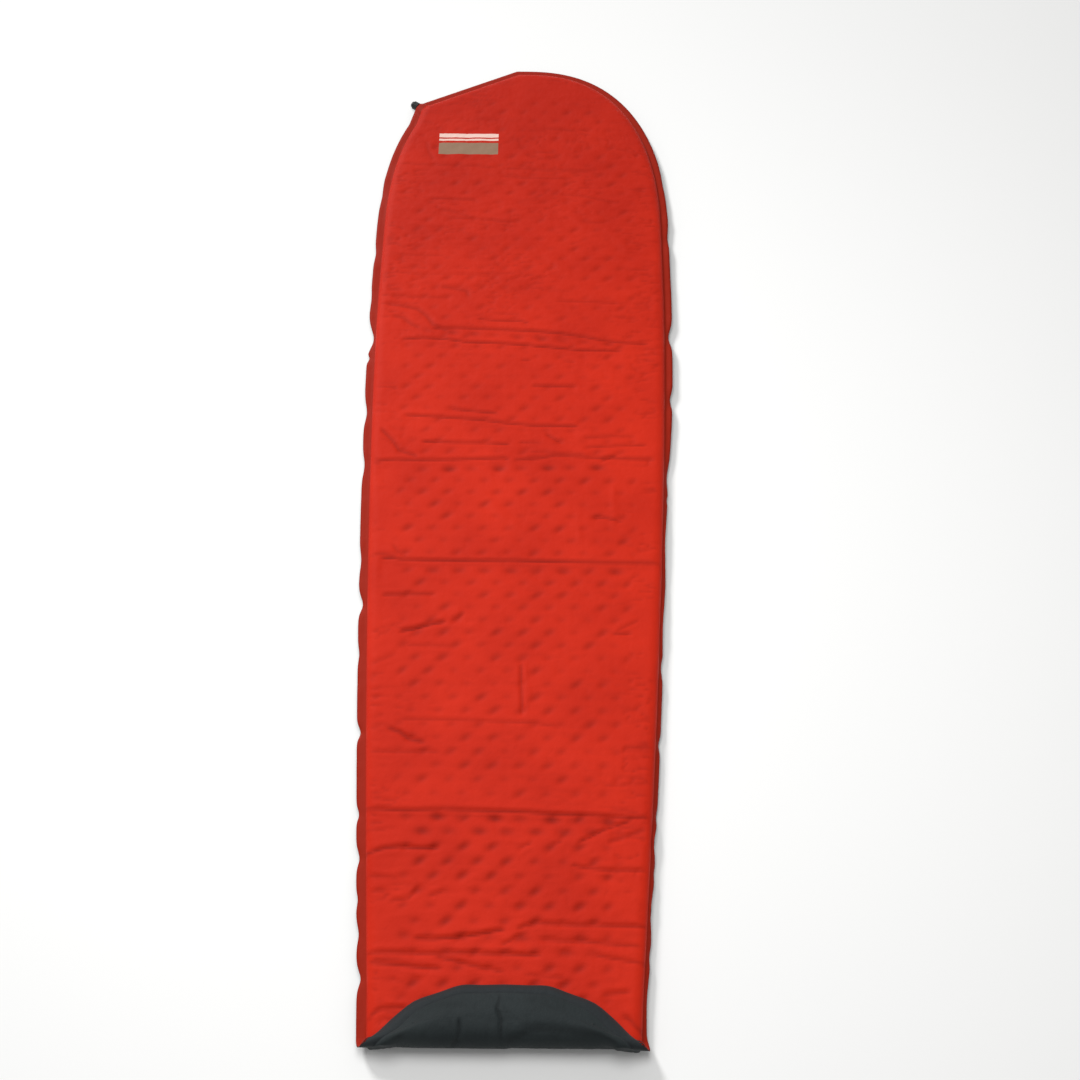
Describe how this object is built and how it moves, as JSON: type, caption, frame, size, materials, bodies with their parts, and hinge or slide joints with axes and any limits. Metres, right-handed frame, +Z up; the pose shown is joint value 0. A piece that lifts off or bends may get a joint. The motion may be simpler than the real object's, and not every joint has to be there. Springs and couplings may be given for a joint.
{
  "type": "self-inflating sleeping mat",
  "caption": "Self-inflating sleeping mat, mummy-shaped, foam core welded into a two-colour fabric casing, with a twist valve at a head corner and the foot end folded over.",
  "frame": {"origin": "middle of the mat's length and width, on the surface it lies on, with the foot end folded over", "axes": "+Y towards the head along the mat's length, +X to the right across its width, +Z up out of the red sleeping side"},
  "size_m": [0.508, 1.757, 0.0503],
  "materials": {
    "red_face_fabric": "woven polyester, coated inside, matt with a soft sheen",
    "grey_base_fabric": "woven polyester with a matt non-slip coating",
    "foam": "open-cell polyurethane foam, die-cut",
    "black_valve_plastic": "moulded, fine matt",
    "seal_rubber": "smooth nitrile rubber"
  },
  "bodies": {
    "mat": {"top_fabric": "red_face_fabric", "foam_core": "foam", "bottom_fabric": "grey_base_fabric", "top_fabric_bend": "red_face_fabric", "foam_core_bend": "foam", "bottom_fabric_bend": "grey_base_fabric", "valve_stem": "black_valve_plastic", "plug_o_ring": "seal_rubber"},
    "foot_flap": {"top_fabric_foot": "red_face_fabric", "foam_core_foot": "foam", "bottom_fabric_foot": "grey_base_fabric"},
    "valve_seal": {"stem_o_ring": "seal_rubber"},
    "cap": {"valve_cap": "black_valve_plastic"}
  },
  "joints": [
    {"name": "foot_fold", "type": "hinge", "parent": "mat", "child": "foot_flap", "pos_m": [0, -0.85335, 0.02515], "axis": [1, 0, 0], "range_deg": [0, 179.5], "deforming": ["top_fabric_bend", "foam_core_bend", "bottom_fabric_bend"]},
    {"name": "cap_turn", "type": "hinge", "parent": "mat", "child": "valve_seal", "pos_m": [-0.19697, 0.7825, 0.0125], "axis": [-0.8192, 0.5736, 0], "range_deg": [0, 360]},
    {"name": "cap_lift", "type": "slide", "parent": "valve_seal", "child": "cap", "axis": [-0.8192, 0.5736, 0], "range_m": [0, 0.004]}
  ],
  "couplings": [
    {"joint": "cap_lift", "follows": "cap_turn", "m_per_rad": 0.00063662}
  ]
}
